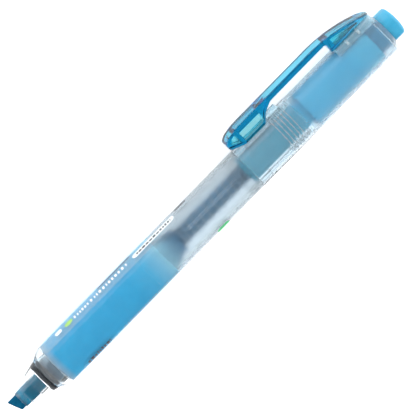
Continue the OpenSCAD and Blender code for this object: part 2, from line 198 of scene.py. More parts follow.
def two_colours(material, source, first, second):
    """A mix of two colours by a value. The first may be another node's output."""
    node = add_node(material, "ShaderNodeMix", data_type="RGBA")
    start, end = colour_sockets(node.inputs)
    if isinstance(first, bpy.types.NodeSocket):
        link(material, first, start)
    else:
        start.default_value = (*first, 1)
    end.default_value = (*second, 1)
    link(material, source, node.inputs["Factor"])
    return colour_sockets(node.outputs)[0]


def bump(material, shader, source, depth_mm, strength=1.0):
    """Small relief, its depth in millimetres."""
    node = add_node(material, "ShaderNodeBump")
    node.inputs["Strength"].default_value = strength
    node.inputs["Distance"].default_value = depth_mm * MM
    link(material, source, node.inputs["Height"])
    link(material, node.outputs["Normal"], shader.inputs["Normal"])


def along_pen(material):
    """The station along the pen, in millimetres, as a value."""
    coordinates = add_node(material, "ShaderNodeTexCoord")
    separate = add_node(material, "ShaderNodeSeparateXYZ")
    station = add_node(material, "ShaderNodeMath", operation="MULTIPLY_ADD")
    station.inputs[1].default_value = -1 / MM
    station.inputs[2].default_value = TIP_X / MM
    link(material, coordinates.outputs["Object"], separate.inputs["Vector"])
    link(material, separate.outputs["X"], station.inputs[0])
    return station.outputs["Value"]


# ---------------------------------------------------------------- materials

def paler(tint, share):
    """A tint brought nearer to white: share is how much of it stays."""
    return [1 - (1 - c) * share for c in tint]


def patchy(material, shader, source, colour, dark):
    """A base colour that wanders between two colours."""
    mix = two_colours(material, ramp(material, source, 0, 1), colour, dark)
    link(material, mix, shader.inputs["Base Color"])


def moulded_surface(material, shader, roughness, grain):
    """Uneven gloss and fine relief, as a mould leaves them."""
    link(material, ramp(material, noise(material, 3.0, detail=5), *roughness), shader.inputs["Roughness"])
    bump(material, shader, noise(material, 6.0, detail=2), grain)


def moulded(name, colour, dark, roughness=(0.18, 0.3), **values):
    """Moulded plastic: slight cloudiness, uneven gloss and fine relief."""
    material, shader = new_material(name)
    patchy(material, shader, noise(material, 0.35, detail=4), colour, dark)
    moulded_surface(material, shader, roughness, 0.004)
    set_shader(shader, **values)
    return material


def graded(name, stops, **values):
    """Moulded plastic whose colour changes along the pen. Each stop is a station and a colour."""
    material, shader = new_material(name)
    first, last = stops[0][0], stops[-1][0]
    share = add_node(material, "ShaderNodeMapRange")
    share.inputs["From Min"].default_value = first
    share.inputs["From Max"].default_value = last
    link(material, along_pen(material), share.inputs["Value"])
    colours = add_node(material, "ShaderNodeValToRGB")
    elements = colours.color_ramp.elements
    while len(elements) < len(stops):
        elements.new(0.5)
    for element, (station, colour) in zip(elements, stops):
        element.position = (station - first) / (last - first)
        element.color = (*colour, 1)
    link(material, share.outputs["Result"], colours.inputs["Fac"])
    cloud = ramp(material, noise(material, 0.35, detail=4), 0, 1)
    uneven = two_colours(material, cloud, (1, 1, 1), (0.93, 0.94, 0.96))
    product = add_node(material, "ShaderNodeMix", data_type="RGBA", blend_type="MULTIPLY")
    product.inputs["Factor"].default_value = 1
    for source, socket in zip((colours.outputs["Color"], uneven), colour_sockets(product.inputs)):
        link(material, source, socket)
    link(material, colour_sockets(product.outputs)[0], shader.inputs["Base Color"])
    moulded_surface(material, shader, (0.2, 0.3), 0.003)
    set_shader(shader, **values)
    return material


def frosted(name, tint, roughness, haze, deep=None, fog=(15.0, 20.0), clearest=0.12):
    """Frosted translucent plastic, nearly clear before the fog stations.

    Its tint turns to deep along DEEP_STATIONS.
    """
    material, shader = new_material(name)
    cloud = ramp(material, noise(material, 0.25, detail=4), 0, 1)
    colour = two_colours(material, cloud, tint, paler(tint, 0.85))
    if deep:
        station = ramp(material, along_pen(material), 0, 1, *DEEP_STATIONS)
        colour = two_colours(material, station, colour, deep)
    link(material, colour, shader.inputs["Base Color"])
    speckle = ramp(material, noise(material, 2.5, detail=5), roughness * 0.88, roughness * 1.12)
    mist = ramp(material, along_pen(material), clearest, 1.0, *fog)
    product = add_node(material, "ShaderNodeMath", operation="MULTIPLY")
    link(material, speckle, product.inputs[0])
    link(material, mist, product.inputs[1])
    link(material, product.outputs["Value"], shader.inputs["Roughness"])
    set_shader(shader, IOR=1.39, Transmission_Weight=1 - haze)
    return material


def clear_plastic(name, tint, roughness=0.04, ior=1.49):
    """Polished clear plastic with faint flow lines along the pen."""
    material, shader = new_material(name)
    flow = noise(material, 1.2, detail=4, stretch=(0.2, 1, 1))
    patchy(material, shader, flow, tint, paler(tint, 0.5))
    gloss = ramp(material, noise(material, 2.0), roughness * 0.6, roughness * 1.6)
    link(material, gloss, shader.inputs["Roughness"])
    bump(material, shader, flow, 0.004)
    set_shader(shader, IOR=ior, Transmission_Weight=1.0)
    return material


def tinted_solid(name, absorb, density_per_mm):
    """Clear plastic coloured through its depth."""
    material = clear_plastic(name, (0.97, 0.99, 1.0))
    volume = add_node(material, "ShaderNodeVolumeAbsorption")
    volume.inputs["Color"].default_value = (*absorb, 1)
    volume.inputs["Density"].default_value = density_per_mm / MM
    output = next(n for n in material.node_tree.nodes if n.type == "OUTPUT_MATERIAL")
    link(material, volume.outputs["Volume"], output.inputs["Volume"])
    return material


def felt(name, colour, dark, holder_light=None):
    """Pressed felt: fibres along the pen, soaked with ink. Inside the clear holder a third colour paints it
    lighter, a painted reflection.
    """
    material, shader = new_material(name)
    fibre = noise(material, 4.0, detail=6, stretch=(0.12, 1, 1), roughness=0.7)
    soaked = two_colours(material, ramp(material, fibre, 0, 1), colour, dark)
    # inside the holder the felt is painted lighter: a painted reflection through the clear plastic
    if holder_light:
        station = ramp(material, along_pen(material), 0, 1, *HOLDER_LIGHT_STATIONS)
        soaked = two_colours(material, station, soaked, holder_light)
    link(material, soaked, shader.inputs["Base Color"])
    pores = noise(material, 9.0, detail=4)
    link(material, ramp(material, pores, 0.55, 0.85), shader.inputs["Roughness"])
    bump(material, shader, fibre, 0.05)
    set_shader(shader, Specular_IOR_Level=0.05)
    return material


def rubber(name):
    """Black rubber with a little dust on it."""
    material, shader = new_material(name)
    dust = noise(material, 1.5, detail=5)
    patchy(material, shader, dust, (0.012, 0.014, 0.018), (0.03, 0.033, 0.04))
    link(material, ramp(material, noise(material, 4.0), 0.32, 0.5), shader.inputs["Roughness"])
    bump(material, shader, noise(material, 8.0), 0.004)
    set_shader(shader, Specular_IOR_Level=0.15)
    return material


def steel_wire(name):
    """Drawn spring wire, its metal unevenly bright."""
    material, shader = new_material(name)
    drawn = noise(material, 5.0, detail=5)
    colour = two_colours(material, drawn, (0.38, 0.46, 0.54), (0.5, 0.58, 0.65))
    link(material, colour, shader.inputs["Base Color"])
    link(material, ramp(material, drawn, 0.2, 0.36), shader.inputs["Roughness"])
    bump(material, shader, drawn, 0.003)
    set_shader(shader, Metallic=1.0)
    return material


def print_ink(name, colour, dark, alpha=1.0):
    """Screen-printed ink: slightly uneven cover."""
    material, shader = new_material(name)
    cover = noise(material, 5.0, detail=5)
    patchy(material, shader, cover, colour, dark)
    link(material, ramp(material, cover, 0.3, 0.5), shader.inputs["Roughness"])
    bump(material, shader, cover, 0.003)
    set_shader(shader, Alpha=alpha)
    return material


# Stations between which a look changes: the felt goes into its holder, where it is painted lighter as a
# painted reflection, the front barrel's tint deepens, and the rear barrel's clear skirt turns to frost.
HOLDER_LIGHT_STATIONS = (3.1, 4.4)
DEEP_STATIONS = (46.0, 62.0)
SKIRT_FOG = (106.5, 108.5)
FRONT_DEEP = (0.7, 0.77, 0.81)
TUBE_CYAN = (0.036, 0.48, 0.79)
TUBE_END_CYAN = (0.09, 0.54, 0.82)
CORE_CYAN = (0.06, 0.67, 0.98)
MATERIALS = {
    "frost_skin": frosted("frost_skin", (0.84, 0.91, 0.95), 0.18, 0.025, FRONT_DEEP),
    "frost_bore": frosted("frost_bore", (0.86, 0.93, 0.96), 0.5, 0.0, FRONT_DEEP),
    "rear_skin": frosted("rear_skin", (0.73, 0.83, 0.89), 0.18, 0.06, fog=SKIRT_FOG, clearest=0.4),
    "rear_bore": frosted("rear_bore", (0.77, 0.87, 0.92), 0.4, 0.05, fog=SKIRT_FOG, clearest=0.18),
    "saddle_frost": frosted("saddle_frost", (0.7, 0.91, 1.0), 0.18, 0.14),
    "clear_nose": clear_plastic("clear_nose", (0.88, 0.93, 0.95), ior=1.34),
    "clear_holder": clear_plastic("clear_holder", (0.93, 0.97, 0.99)),
    "clear_joint": clear_plastic("clear_joint", (0.97, 0.99, 1.0), 0.12, 1.3),
    # pale crests on the joint bush's thread: a painted glint
    "thread_glint_paint": moulded("thread_glint_paint", (0.96, 0.99, 1.0), (0.88, 0.95, 0.98)),
    "clip_cyan": tinted_solid("clip_cyan", (0.0, 0.8, 0.89), 1.5),
    "button_cyan": moulded(
        "button_cyan", (0.07, 0.47, 0.72), (0.05, 0.42, 0.67), (0.14, 0.2),
        Transmission_Weight=0.3, IOR=1.45),
    "cyan_tube": graded("cyan_tube", [
        (16.4, (0.32, 0.45, 0.56)), (18.6, TUBE_CYAN), (45.0, TUBE_CYAN),
        (50.5, TUBE_END_CYAN)], Specular_IOR_Level=0.1),
    "bush_blue": graded("bush_blue", [
        (50.5, TUBE_END_CYAN), (53.5, (0.24, 0.65, 0.88)), (57.0, (0.46, 0.82, 0.95)),
        (59.0, (0.32, 0.58, 0.74)), (61.5, (0.15, 0.33, 0.5))], Specular_IOR_Level=0.1),
    # lighter before station 109.5 and past 126: painted light against the shade in the joint and at the tail
    # end
    "cyan_core": graded("cyan_core", [
        (105.0, (0.16, 0.78, 1.0)), (109.5, CORE_CYAN), (126.0, CORE_CYAN),
        (134.0, (0.12, 0.73, 0.98))], Specular_IOR_Level=0.2),
    "slate": moulded("slate", (0.16, 0.35, 0.52), (0.11, 0.27, 0.43)),
    "rotor_blue": moulded("rotor_blue", (0.03, 0.22, 0.42), (0.02, 0.18, 0.36)),
    "white_plastic": moulded("white_plastic", (0.84, 0.85, 0.86), (0.78, 0.8, 0.82)),
    "smoky_cage": graded("smoky_cage", [(14.2, (0.08, 0.11, 0.15)), (16.2, (0.42, 0.58, 0.7))]),
    "ink_fibre": felt("ink_fibre", (0.03, 0.36, 0.66), (0.02, 0.27, 0.55)),
    # its third colour is the felt painted lighter inside the clear holder: a painted reflection
    "nib_felt": felt("nib_felt", (0.002, 0.1, 0.19), (0.001, 0.06, 0.13), (0.015, 0.31, 0.5)),
    "black_rubber": rubber("black_rubber"),
    "spring_wire": steel_wire("spring_wire"),
    "print_white": print_ink("print_white", (0.85, 0.87, 0.88), (0.76, 0.8, 0.82)),
    "print_dark": print_ink("print_dark", (0.03, 0.035, 0.045), (0.06, 0.065, 0.08)),
    # a faint pale translucent cover over the clip side of the front barrel
    "pale_band_cover": print_ink("pale_band_cover", (0.55, 0.66, 0.72), (0.5, 0.61, 0.68), 0.22),
    # pale lines on the barrel: a painted highlight
    "pale_highlight_paint": print_ink("pale_highlight_paint", (0.55, 0.65, 0.72), (0.45, 0.56, 0.64), 0.6),
    "print_grey": print_ink("print_grey", (0.3, 0.33, 0.4), (0.24, 0.27, 0.33)),
    "print_green": print_ink("print_green", (0.02, 0.48, 0.14), (0.015, 0.4, 0.11)),
    "print_lime": print_ink("print_lime", (0.33, 0.6, 0.12), (0.27, 0.52, 0.1)),
}


# ---------------------------------------------------------------- mesh helpers

def rounded(outline, size=0.15, closed=True):
    """Rounds the corners of an outline. A point may hold its own rounding as a third number."""
    result = []
    count = len(outline)
    for i, point in enumerate(outline):
        here = Vector(point[:2])
        own = point[2] if len(point) > 2 else size
        ends = not closed and i in (0, count - 1)
        if ends or own <= 0:
            result.append(here)
            continue
        before = Vector(outline[i - 1][:2]) - here
        after = Vector(outline[(i + 1) % count][:2]) - here
        reach = min(own, before.length * CORNER_REACH, after.length * CORNER_REACH)
        start = here + before.normalized() * reach
        end = here + after.normalized() * reach
        for k in range(CORNER_STEPS + 1):
            s = k / CORNER_STEPS
            result.append(start * (1 - s) ** 2 + here * 2 * s * (1 - s) + end * s * s)
    return [tuple(p) for p in result]


def add_piece(name, mesh, body, materials):
    """A smooth-shaded object, which rides on a body if one is named."""
    mesh.polygons.foreach_set("use_smooth", [True] * len(mesh.polygons))
    mesh.set_sharp_from_angle(angle=SHARP_ANGLE)
    for material in materials:
        mesh.materials.append(MATERIALS[material])
    piece = bpy.data.objects.new(name, mesh)
    bpy.context.scene.collection.objects.link(piece)
    if body:
        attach(piece, body)
    return piece


def tube_faces(rings, size):
    """Faces that join a stack of rings of one size, and close its two ends."""
    faces = []
    for i in range(rings - 1):
        for k in range(size):
            n = (k + 1) % size
            faces.append([i * size + k, i * size + n, (i + 1) * size + n, (i + 1) * size + k])
    faces.append(list(range(size)))
    faces.append([(rings - 1) * size + k for k in range(size)])
    return faces


def finish_mesh(name, points, faces, body, materials, inward=()):
    """An object from points in the pen's millimetres. The faces numbered in inward are turned inside out."""
    mesh = bpy.data.meshes.new(name)
    mesh.from_pydata([pen_point(*p) for p in points], [], faces)
    work = bmesh.new()
    work.from_mesh(mesh)
    work.faces.ensure_lookup_table()
    hollow = [work.faces[i] for i in inward]
    bmesh.ops.recalc_face_normals(work, faces=work.faces)
    if hollow:
        bmesh.ops.reverse_faces(work, faces=hollow)
    work.to_mesh(mesh)
    work.free()
    return add_piece(name, mesh, body, materials)


def lathe(name, outline, body, materials, closed=True, swell=None):
    """Turns an outline of (station, radius) about the axis. A second material goes on the bore."""
    points, rings = [], []
    for x, r in outline:
        if r < ON_AXIS:
            rings.append([len(points)])
            points.append((x, 0, 0))
            continue
        ring = []
        for k in range(ROUND_STEPS):
            angle = 2 * math.pi * k / ROUND_STEPS
            out = r + (swell(x, r, angle) if swell else 0)
            ring.append(len(points))
            points.append((x, out * math.sin(angle), out * math.cos(angle)))
        rings.append(ring)
    faces = []
    pairs = list(zip(rings, rings[1:] + rings[:1])) if closed else list(zip(rings, rings[1:]))
    for a, b in pairs:
        if len(a) == 1 and len(b) == 1:
            continue
        for k in range(ROUND_STEPS):
            n = (k + 1) % ROUND_STEPS
            corners = [a[k % len(a)], a[n % len(a)], b[n % len(b)], b[k % len(b)]]
            faces.append(list(dict.fromkeys(corners)))
    piece = finish_mesh(name, points, faces, body, materials)
    if len(materials) > 1:
        centre = Vector((0, AXIS_Y, AXIS_Z))
        for face in piece.data.polygons:
            out = Vector((0, face.center.y, face.center.z)) - centre
            face.material_index = int(face.normal.dot(out.normalized()) < BORE_FACING)
    return piece


def inset(outline, amount):
    """Moves an anticlockwise or clockwise outline inwards by an amount."""
    area = sum(a[0] * b[1] - b[0] * a[1] for a, b in zip(outline, outline[1:] + outline[:1]))
    turn = 1 if area > 0 else -1
    moved = []
    for i, point in enumerate(outline):
        before = Vector(point) - Vector(outline[i - 1])
        after = Vector(outline[(i + 1) % len(outline)]) - Vector(point)
        normal = Vector((-before.y, before.x)).normalized() + Vector((-after.y, after.x)).normalized()
        normal.normalize()
        moved.append(tuple(Vector(point) + normal * amount * turn))
    return moved


def slab_parts(outline, half_width, edge, layers=6, adjust=None):
    """Points and faces of an outline of (station, height) extruded across, its two edges rounded."""
    side = []
    for k in range(CORNER_STEPS + 1):
        angle = math.pi / 2 * k / CORNER_STEPS
        side.append((half_width - edge * (1 - math.sin(angle)), edge * (1 - math.cos(angle))))
    flat = half_width - edge
    middle = [(flat - 2 * flat * k / layers, 0) for k in range(1, layers)]
    stack = side[::-1] + middle + [(-t, d) for t, d in side]
    points = []
    for t, depth in stack:
        for x, h in inset(outline, depth) if depth else outline:
            points.append(adjust(x, t, h) if adjust else (x, t, h))
    return points, tube_faces(len(stack), len(outline))


def wrapped(name, patches, lift, material):
    """Thin printed patches on the front barrel. A patch is an outline of (station, degrees from the clip)."""
    points, faces = [], []
    r = BARREL_R + lift
    for outline in patches:
        first = len(points)
        for x, angle in outline:
            a = math.radians(angle)
            points.append((x, r * math.sin(a), r * math.cos(a)))
        faces.append(list(range(first, first + len(outline))))
    finish_mesh(name, points, faces, "front_unit", [material])


ROW_DEGREES = 2.5


def strip(x_from, x_to, angle_from, angle_to, round_mm=0.0):
    """A rectangular patch with round ends, cut into rows that follow the barrel."""
    rows = max(2, round(abs(angle_to - angle_from) / ROW_DEGREES))
    half = abs(angle_to - angle_from) / 2
    middle = (angle_from + angle_to) / 2
    cells = []
    for k in range(rows):
        sides = []
        for n in (k, k + 1):
            share = -1 + 2 * n / rows
            pull = round_mm * (1 - math.sqrt(max(0.0, 1 - share * share)))
            sides.append((middle + half * share, x_from + pull, x_to - pull))
        (a0, x0, x1), (a1, x2, x3) = sides
        cells.append([(x0, a0), (x1, a0), (x3, a1), (x2, a1)])
    return cells


# ---------------------------------------------------------------- front unit

def build_front_barrel():
    mouth_r, bore = 4.45, BARREL_R - WALL
    step_x, end_x = SEAL_TUBE_X - 0.2, SEAM_X - 0.01
    taper = [(BARREL_X, 4.85), (13.4, 5.35), (14.6, 6.05, 0.5), (16.0, BARREL_R, 0.6)]
    outline = rounded(
        [(BARREL_X, mouth_r, 0.05)] + taper
        + [(end_x, BARREL_R, 0.12), (end_x, bore, 0.1), (step_x, bore, 0.1), (step_x, mouth_r, 0.05)])
    piece = lathe("barrel_front", outline, "front_unit", ["frost_skin", "frost_bore"])
    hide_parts("front_barrel")


def build_nose():
    """The clear nose, and the seals that it holds. Its skirt reaches back into the barrel."""
    step_x, cone_x, seat_x, seat_end_x = 8.3, 12.1, 10.95, 11.7
    bore, tip_r, seat_r, step_r, skirt_bore, skirt_r = 2.62, 3.0, 3.2, 3.95, 3.9, 4.4
    shoulder_x = BARREL_X - 0.05
    outline = rounded([
        (NOZZLE_X, bore, 0.1), (NOZZLE_X, tip_r - 0.15, 0.15), (NOZZLE_X + 0.6, tip_r, 0.4),
        (step_x, tip_r, 0.15), (step_x, step_r, 0.2), (cone_x, NOZZLE_R, 0.15),
        (shoulder_x, NOZZLE_R, 0.1), (shoulder_x, skirt_r, 0.05), (SKIRT_X, skirt_r, 0.1),
        (SKIRT_X, skirt_bore, 0.1), (seat_end_x, skirt_bore, 0.1), (seat_x, seat_r, 0.1),
        (seat_x, bore, 0.1)])
    nozzle = lathe("nose_cone", outline, "front_unit", ["clear_nose"])
    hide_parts("nozzle")

    start, end = span("front_seal")
    ring_r = SEAL_R + 0.05 + SNUG
    ring_bore = bore - 0.05
    chamfer = 0.7
    outline = rounded([
        (start, ring_bore), (start, ring_r - chamfer, 0.2), (start + chamfer, ring_r, 0.2),
        (end, ring_r), (end, ring_bore)])
    seal = lathe("seal_front", outline, "front_unit", ["black_rubber"])
    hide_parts("front_seal")

    start, end = span("seal_washer")
    outline = rounded([(start, bore), (start, SEAL_R), (end, SEAL_R), (end, bore)], 0.08)
    washer = lathe("washer", outline, "front_unit", ["white_plastic"])
    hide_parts("seal_washer")

    start, end = span("lip_seal")
    lip_r, cup_r = HOLDER_R + FIT, 3.25
    outline = rounded([
        (start, lip_r), (start, ring_r), (end, ring_r), (end, cup_r), (start + 1.0, cup_r),
        (start + 0.5, lip_r)], 0.12)
    lips = lathe("seal_lips", outline, "front_unit", ["black_rubber"])
    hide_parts("lip_seal")

    start, end = span("seal_cage")
    cage_bore, mouth_r = 2.75, 3.4
    outline = rounded([
        (start, cage_bore), (start, SEAL_R), (end, SEAL_R), (end, mouth_r, 0.3),
        (end - 0.8, cage_bore, 0.2)], 0.1)
    cage = lathe("cage", outline, "front_unit", ["smoky_cage"])
    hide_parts("seal_cage")


def build_inner_tubes():
    """The seal tube is pressed into the barrel's wall, so that no air gap shows between them."""
    outer_r = BARREL_R - WALL + SNUG
    skirt_r, bore, seat_r = 4.46, SHELL_R + 0.11, BUSH_R + FIT
    outline = rounded([
        (SEAL_TUBE_X, skirt_r, 0.1), (SEAL_TUBE_X, outer_r, 0.3), (SEAL_TUBE_END_X, outer_r, 0.02),
        (SEAL_TUBE_END_X, seat_r, 0.1), (BUSH_X, seat_r, 0.1), (BUSH_X, bore, 0.1),
        (SKIRT_X + 0.02, bore, 0.1), (SKIRT_X + 0.02, skirt_r, 0.05)])
    tube = lathe("tube_seal", outline, "front_unit", ["cyan_tube"])
    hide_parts("seal_tube")

    collar_x, collar_end_x, cone_x = SEAL_TUBE_END_X + 0.02, 56.5, 60.5
    groove_x, groove_end_x = 55.3, 56.3
    bore, spring_seat_r = TAIL_R + 0.1, 3.6
    groove_r = bore + 0.88
    outline = rounded([
        (BUSH_X, bore, 0.1), (BUSH_X, BUSH_R, 0.2), (collar_x, BUSH_R, 0.02), (collar_x, outer_r, 0.02),
        (collar_end_x, outer_r, 0.6), (cone_x, spring_seat_r, 0.4), (SPRING_X, spring_seat_r, 0.3),
        (SPRING_X, bore, 0.1), (groove_end_x, bore, 0.02), (groove_end_x, groove_r, 0.02),
        (groove_x, groove_r, 0.02), (groove_x, bore, 0.02)])
    bush = lathe("bush_tail", outline, "front_unit", ["bush_blue"])
    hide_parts("tail_bush")


THREAD_START, THREAD_END = 99.75, 106.4
THREAD_PITCH = 1.13
NECK_R = 5.35
FADE_LENGTH = 0.5
GLINT_SHARE = 0.9


def thread_height(x, r, angle):
    """The height of the helical thread over the neck of the joint bush."""
    if r < NECK_R - 0.02 or not THREAD_START < x < THREAD_END:
        return 0
    turns = (x - THREAD_START) / THREAD_PITCH - angle / (2 * math.pi)
    crest = max(0.0, math.cos(2 * math.pi * turns)) ** 0.6
    fade = min(1.0, (x - THREAD_START) / FADE_LENGTH, (THREAD_END - x) / FADE_LENGTH)
    return (THREAD_R - NECK_R - 0.01) * crest * fade


def build_joint_bush():
    """The threaded insert. Its thread's crests carry a pale material that is a painted glint."""
    land_x = 92.0
    core = BUSH_R + FIT
    plug_r = BARREL_R - WALL - FIT
    front = rounded([
        (JOINT_X, core, 0.2), (JOINT_X, plug_r, 0.2), (SEAM_X, plug_r, 0.02), (SEAM_X, THREAD_R, 0.1),
        (land_x, THREAD_R, 0.2), (land_x + 0.3, NECK_R, 0.1)], closed=False)
    length = THREAD_END - THREAD_START
    samples = round(length / THREAD_PITCH * 14)
    thread = [(THREAD_START + length * k / samples, NECK_R) for k in range(samples + 1)]
    back = [(JOINT_END_X - 0.2, NECK_R), (JOINT_END_X, NECK_R - 0.2), (JOINT_END_X, core + 0.1)]
    piece = lathe("bush_joint", front + thread + back, "front_unit", ["clear_joint"], swell=thread_height)
    # the crest faces get the painted glint material
    piece.data.materials.append(MATERIALS["thread_glint_paint"])
    for face in piece.data.polygons:
        x, r = station_and_radius(face.center)
        on_thread = THREAD_START < x < THREAD_END
        face.material_index = int(on_thread and r > NECK_R + GLINT_SHARE * (THREAD_R - NECK_R))
    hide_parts("joint_bush")


def build_spring():
    """The return spring. Its turns lie closer towards its two ends."""
    start, end = span("return_spring")
    wire = 0.225
    coil_r = radius("return_spring") - wire
    turns, steps, sides = 13, 36, 10
    crowding = 0.055
    points = []
    for k in range(turns * steps + 1):
        share = k / (turns * steps)
        spread = share - crowding * math.sin(2 * math.pi * share)
        x = start + wire + (end - start - 2 * wire) * spread
        angle = 2 * math.pi * k / steps
        for s in range(sides):
            a = 2 * math.pi * s / sides
            r = coil_r + wire * math.cos(a)
            points.append((x + wire * math.sin(a), r * math.sin(angle), r * math.cos(angle)))
    faces = tube_faces(turns * steps + 1, sides)
    piece = finish_mesh("spring_return", points, faces, None, ["spring_wire"])
    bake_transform(piece)
    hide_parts("return_spring")


# ---------------------------------------------------------------- refill

NIB_STEM_X, NIB_STEM_R = 8.3, 1.5
NIB_ROLL = math.radians(24.8)
NIB_SLANT = 1.6


def nib_parts():
    """The felt nib: a squarish rod, its broad faces drawn in to the writing edge."""
    stem_end = span("nib")[1]
    stations = [(0.0, 0.72), (1.0, 1.0), (2.2, 1.32), (3.4, 1.66), (4.6, 1.96), (5.4, 2.08), (6.4, NIB_R)]
    rings = [(x, NIB_R, thick, 3.2 - x * 0.18) for x, thick in stations]
    shoulder = [(NIB_STEM_X - 0.1, NIB_R), (NIB_STEM_X, NIB_R - 0.1), (NIB_STEM_X + 0.02, NIB_STEM_R)]
    rings += [(x, r, r, 2.0) for x, r in shoulder + [(stem_end, NIB_STEM_R)]]
    points = []
    count = 48
    for x, high, thick, power in rings:
        for k in range(count):
            a = 2 * math.pi * k / count
            c, s = math.cos(a), math.sin(a)
            h = high * math.copysign(abs(c) ** (2 / power), c)
            t = thick * math.copysign(abs(s) ** (2 / power), s)
            points.append((x, t, h))
    return points, tube_faces(len(rings), count)


def build_nib():
    """The rod of nib_parts, cut on the slant and rolled about the pen's axis as in the photo."""
    points, faces = nib_parts()
    mesh = bpy.data.meshes.new("nib_chisel")
    mesh.from_pydata(points, [], faces)
    work = bmesh.new()
    work.from_mesh(mesh)
    bmesh.ops.recalc_face_normals(work, faces=work.faces)
    normal = Vector((-2 * NIB_R, 0, -NIB_SLANT)).normalized()
    cut = bmesh.ops.bisect_plane(
        work, geom=work.verts[:] + work.edges[:] + work.faces[:], plane_co=Vector((0.02, 0, NIB_R)),
        plane_no=normal, clear_outer=True)
    rim = [e for e in cut["geom_cut"] if isinstance(e, bmesh.types.BMEdge)]
    bmesh.ops.contextual_create(work, geom=rim)
    bmesh.ops.bevel(work, geom=rim, offset=0.12, segments=2, affect="EDGES", clamp_overlap=True)
    bmesh.ops.recalc_face_normals(work, faces=work.faces)
    roll = Matrix.Rotation(-NIB_ROLL, 4, "X")
    for vertex in work.verts:
        x, t, h = roll @ vertex.co
        vertex.co = pen_point(x, t, h)
    work.to_mesh(mesh)
    work.free()
    piece = add_piece("nib_chisel", mesh, "refill", ["nib_felt"])
    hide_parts("nib")


def build_refill():
    """The refill but for its nib: holder, reservoir shell, tail tube and carrier."""
    head_bore, stem_bore = NIB_R - SNUG, NIB_STEM_R - SNUG
    collar_x, seat_x = SHELL_X - 1.2, NIB_STEM_X - 0.1
    outline = rounded([
        (HOLDER_X, head_bore, 0.05), (HOLDER_X, HOLDER_R, 0.12), (collar_x, HOLDER_R, 0.1),
        (collar_x, SHELL_R, 0.15), (HOLDER_END_X, SHELL_R, 0.1), (HOLDER_END_X, stem_bore, 0.05),
        (seat_x, stem_bore, 0.05), (seat_x, head_bore, 0.05)])
    holder = lathe("holder_nib", outline, "refill", ["clear_holder"])
    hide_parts("nib_holder")

    wall, floor_x, tail_hole = 0.5, SHELL_END_X - 1, TAIL_R + FIT
    outline = rounded([
        (SHELL_X, SHELL_R - wall, 0.1), (SHELL_X, SHELL_R, 0.1), (SHELL_END_X, SHELL_R, 0.4),
        (SHELL_END_X, tail_hole, 0.05), (floor_x, tail_hole, 0.05), (floor_x, SHELL_R - wall, 0.2)])
    shell = lathe("shell_reservoir", outline, "refill", ["cyan_tube"])
    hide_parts("reservoir_shell")

    flange_r, flange_end_x = 3.4, floor_x - 0.02
    outline = rounded([
        (TAIL_X, TAIL_R - wall, 0.1), (TAIL_X, flange_r, 0.2), (flange_end_x, flange_r, 0.2),
        (flange_end_x, TAIL_R, 0.1), (TAIL_END_X, TAIL_R, 0.2), (TAIL_END_X, TAIL_R - wall, 0.1)])
    tail = lathe("tube_tail", outline, "refill", ["slate"])
    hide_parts("tail_tube")

    socket_x, bore = 93.0, 3.2
    outline = rounded([
        (CARRIER_X, tail_hole, 0.1), (CARRIER_X, CARRIER_R, 0.35), (CARRIER_END_X, CARRIER_R, 0.2),
        (CARRIER_END_X, bore, 0.1), (socket_x, bore, 0.1), (socket_x, tail_hole, 0.1)])
    carrier = lathe("tube_carrier", outline, "refill", ["cyan_core"])
    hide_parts("carrier")


# ---------------------------------------------------------------- rear unit

def build_rear_barrel():
    bore, skirt_bore, hole = 5.4, THREAD_R + 0.1, BUTTON_R + 0.1
    start_x, step_x, wall_x, end_x = SEAM_X + 0.01, 107.2, REAR_END_X - 1.6, REAR_END_X - 0.02
    outline = rounded([
        (start_x, skirt_bore, 0.1), (start_x, BARREL_R, 0.12), (REAR_END_X - 1.3, BARREL_R, 0.9),
        (end_x, BARREL_R - 1.5, 0.25), (end_x, hole, 0.15), (wall_x, hole, 0.1), (wall_x, bore, 0.1),
        (step_x, bore, 0.1), (step_x, skirt_bore, 0.1)])
    piece = lathe("barrel_rear", outline, "rear_unit", ["rear_skin", "rear_bore"])
    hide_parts("rear_barrel")


PAD_SLOPE = 0.3
PAD_BULGE = 0.75
PAD_DEPTH = 0.02


def pad_profile(share, foot, top):
    """Across a pad: where a share from -1 to 1 of its width lies, and how high it stands there."""
    flat = 1 - PAD_SLOPE
    outside = abs(share) - flat
    if outside < 0:
        return share / flat * top, 1.0
    reach = top + (foot - top) * outside / PAD_SLOPE
    return math.copysign(reach, share), ((1 - abs(share)) / PAD_SLOPE) ** PAD_BULGE


def blister(name, x_from, x_to, foot, top, height, end_round):
    """A raised pad on the rear barrel: foot and top are half-widths, height is its top above the axis."""
    skin = BARREL_R + 0.03
    columns, rows = 28, 16
    upper, lower = [], []
    for i in range(columns + 1):
        x = x_from + (x_to - x_from) * i / columns
        near = max(0.0, min(1.0, (x - x_from) / end_round, (x_to - x) / end_round))
        rise = math.sqrt(1 - (1 - near) ** 2)
        for k in range(rows + 1):
            t, stand = pad_profile(-1 + 2 * k / rows, foot, top)
            low = math.sqrt(skin ** 2 - t * t)
            upper.append((x, t, low + max(0.0, height - low) * rise * stand))
            lower.append((x, t, low - PAD_DEPTH))
    width, under = rows + 1, len(upper)
    faces = []
    for i in range(columns):
        for k in range(rows):
            a = i * width + k
            cell = [a, a + 1, a + width + 1, a + width]
            faces += [cell, [corner + under for corner in cell]]
    long_edges = [(i * width + k, (i + 1) * width + k) for i in range(columns) for k in (0, rows)]
    end_edges = [(i * width + k, i * width + k + 1) for k in range(rows) for i in (0, columns)]
    faces += [[a, b, under + b, under + a] for a, b in long_edges + end_edges]
    piece = finish_mesh(name, upper + lower, faces, "rear_unit", ["saddle_frost"])


def build_pads():
    """The clip's seat, and the small bump under the clip's foot."""
    blister("clip_seat", 125.5, 138.7, 3.8, 2.5, 6.86, 0.35)
    blister("clip_bump", 101.0, 105.0, 1.5, 1.1, 7.45, 0.5)


CLIP_END_X = 138.75
CLIP_ROOT_X = 125.0
ARC_STEPS = 24


